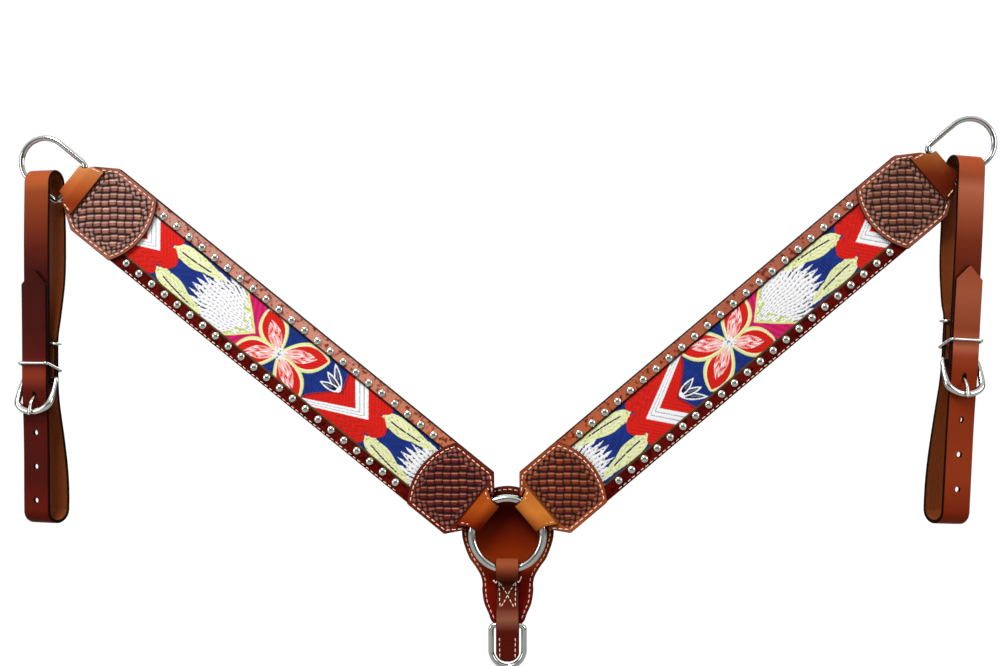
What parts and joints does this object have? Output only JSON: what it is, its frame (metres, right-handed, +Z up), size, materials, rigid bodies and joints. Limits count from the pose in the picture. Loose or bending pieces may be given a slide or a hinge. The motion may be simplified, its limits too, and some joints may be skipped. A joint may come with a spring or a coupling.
{
  "type": "horse breast collar",
  "caption": "Western breast collar: two padded embroidered leather arms from a centre ring, hung on dees with buckled tug straps and a drop strap to a lower dee.",
  "frame": {"origin": "centre of the centre ring, in the middle of its wire", "axes": "+X to the right seen from the decorated front, +Y from the front to the back (toward the horse), +Z up toward the withers"},
  "size_m": [0.8543, 0.0428, 0.4815],
  "materials": {
    "nickel": "polished nickel plate",
    "strap_leather": "smooth oiled chestnut",
    "liner_leather": "matt flesh side",
    "border_leather": "smooth oiled chestnut",
    "patch_leather": "basket-weave tooled",
    "chape_leather": "smooth polished tan",
    "embroidery": "multicolour embroidery"
  },
  "bodies": {
    "center_ring": {"center_ring": "nickel"},
    "drop": {"drop_strap": "strap_leather", "ring_safe": "strap_leather"},
    "bottom_dee": {"bottom_dee": "nickel"},
    "left_chape": {"left_ring_chape": "chape_leather"},
    "left_arm": {"left_arm_liner": "liner_leather", "left_fabric_panel": "embroidery", "left_upper_border": "border_leather", "left_lower_border": "border_leather", "left_ring_patch": "patch_leather", "left_shoulder_patch": "patch_leather", "left_shoulder_chape": "chape_leather"},
    "left_dee": {"left_dee": "nickel"},
    "left_tug": {"left_tug_strap": "strap_leather"},
    "left_buckle": {"left_buckle_frame": "nickel"},
    "left_tongue": {"left_buckle_tongue": "nickel"},
    "left_keeper": {"left_keeper": "nickel"},
    "left_back_keeper": {"left_back_keeper": "nickel"},
    "right_chape": {"right_ring_chape": "chape_leather"},
    "right_arm": {"right_arm_liner": "liner_leather", "right_fabric_panel": "embroidery", "right_upper_border": "border_leather", "right_lower_border": "border_leather", "right_ring_patch": "patch_leather", "right_shoulder_patch": "patch_leather", "right_shoulder_chape": "chape_leather"},
    "right_dee": {"right_dee": "nickel"},
    "right_tug": {"right_tug_strap": "strap_leather"},
    "right_buckle": {"right_buckle_frame": "nickel"},
    "right_tongue": {"right_buckle_tongue": "nickel"},
    "right_keeper": {"right_keeper": "nickel"},
    "right_back_keeper": {"right_back_keeper": "nickel"}
  },
  "joints": [
    {"name": "drop_swing", "type": "hinge", "parent": "center_ring", "child": "drop", "pos_m": [0, 0, -0.0302], "axis": [-1, 0, 0], "range_deg": [0, 60]},
    {"name": "bottom_dee_swing", "type": "hinge", "parent": "drop", "child": "bottom_dee", "pos_m": [0, 0.003, -0.0803], "axis": [-1, 0, 0], "range_deg": [-60, 60]},
    {"name": "left_ring_swing", "type": "hinge", "parent": "center_ring", "child": "left_chape", "pos_m": [0, 0, 0], "axis": [0, 1, 0], "range_deg": [-50, 11]},
    {"name": "left_arm_fold", "type": "hinge", "parent": "left_chape", "child": "left_arm", "pos_m": [-0.03136, -0.0059, 0.02531], "axis": [0.628, 0, 0.7782], "range_deg": [-8, 60]},
    {"name": "left_dee_swing", "type": "hinge", "parent": "left_arm", "child": "left_dee", "pos_m": [-0.3829, 0, 0.30896], "axis": [0.628, 0, 0.7782], "range_deg": [-15, 20]},
    {"name": "left_tug_swing", "type": "hinge", "parent": "left_dee", "child": "left_tug", "pos_m": [-0.40948, 0, 0.30021], "axis": [-0.7782, 0, 0.628], "range_deg": [-6, 40]},
    {"name": "left_buckle_tilt", "type": "hinge", "parent": "left_tug", "child": "left_buckle", "pos_m": [-0.41113, -0.00609, 0.1353], "axis": [-0.9659, 0.2588, 0], "range_deg": [0, 2]},
    {"name": "left_tongue_lift", "type": "hinge", "parent": "left_buckle", "child": "left_tongue", "pos_m": [-0.41113, -0.00609, 0.1353], "axis": [-0.9659, 0.2588, 0], "range_deg": [0, 1]},
    {"name": "left_keeper_slide", "type": "slide", "parent": "left_tug", "child": "left_keeper", "axis": [0, 0, 1], "range_m": [-0.002, 0.009]},
    {"name": "left_back_keeper_slide", "type": "slide", "parent": "left_tug", "child": "left_back_keeper", "axis": [0, 0, 1], "range_m": [-0.007, 0]},
    {"name": "right_ring_swing", "type": "hinge", "parent": "center_ring", "child": "right_chape", "pos_m": [0, 0, 0], "axis": [0, 1, 0], "range_deg": [-11, 50]},
    {"name": "right_arm_fold", "type": "hinge", "parent": "right_chape", "child": "right_arm", "pos_m": [0.03074, -0.0059, 0.02607], "axis": [0.6468, 0, -0.7627], "range_deg": [-8, 60]},
    {"name": "right_dee_swing", "type": "hinge", "parent": "right_arm", "child": "right_dee", "pos_m": [0.37523, 0, 0.31822], "axis": [0.6468, 0, -0.7627], "range_deg": [-4, 25]},
    {"name": "right_tug_swing", "type": "hinge", "parent": "right_dee", "child": "right_tug", "pos_m": [0.39496, 0, 0.30872], "axis": [-0.7627, 0, -0.6468], "range_deg": [0, 10]},
    {"name": "right_buckle_tilt", "type": "hinge", "parent": "right_tug", "child": "right_buckle", "pos_m": [0.38786, -0.00827, 0.15213], "axis": [-0.9691, -0.2416, 0.0506], "range_deg": [0, 2]},
    {"name": "right_tongue_lift", "type": "hinge", "parent": "right_buckle", "child": "right_tongue", "pos_m": [0.38786, -0.00827, 0.15213], "axis": [-0.9691, -0.2416, 0.0506], "range_deg": [0, 1]},
    {"name": "right_keeper_slide", "type": "slide", "parent": "right_tug", "child": "right_keeper", "axis": [0.0491, 0.0122, 0.9987], "range_m": [-0.002, 0.009]},
    {"name": "right_back_keeper_slide", "type": "slide", "parent": "right_tug", "child": "right_back_keeper", "axis": [0.0491, 0.0122, 0.9987], "range_m": [-0.007, 0]}
  ]
}
